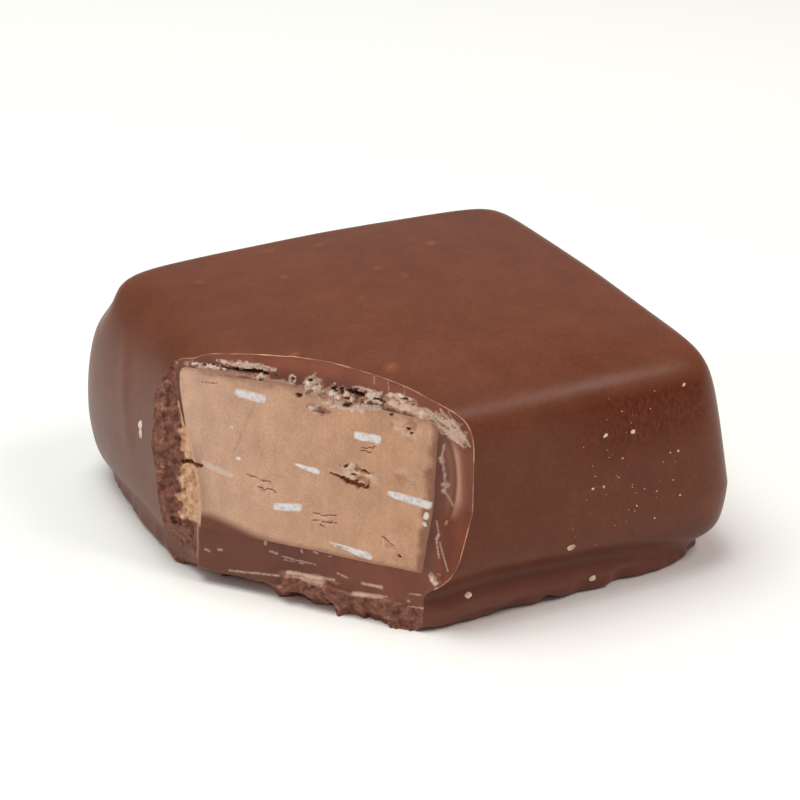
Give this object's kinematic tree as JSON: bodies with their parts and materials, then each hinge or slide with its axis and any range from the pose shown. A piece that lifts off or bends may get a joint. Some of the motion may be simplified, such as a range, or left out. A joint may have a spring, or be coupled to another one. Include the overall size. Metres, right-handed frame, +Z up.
{
  "type": "nougat bite",
  "caption": "Square chocolate-coated nougat sweet with rounded shoulders, one corner cut away to show the pale filling and the coat's thickness.",
  "frame": {"origin": "middle of the flat base, on the surface the sweet lies on", "axes": "+Z up through the top, +X along the longer side, the cut corner faces -X -Y"},
  "size_m": [0.0312, 0.0296, 0.0148],
  "materials": {
    "milk_chocolate": "satin set chocolate",
    "nougat": "matt, fine-grained"
  },
  "bodies": {
    "root": {"chocolate_coating": "milk_chocolate", "nougat_filling": "nougat"}
  },
  "joints": []
}
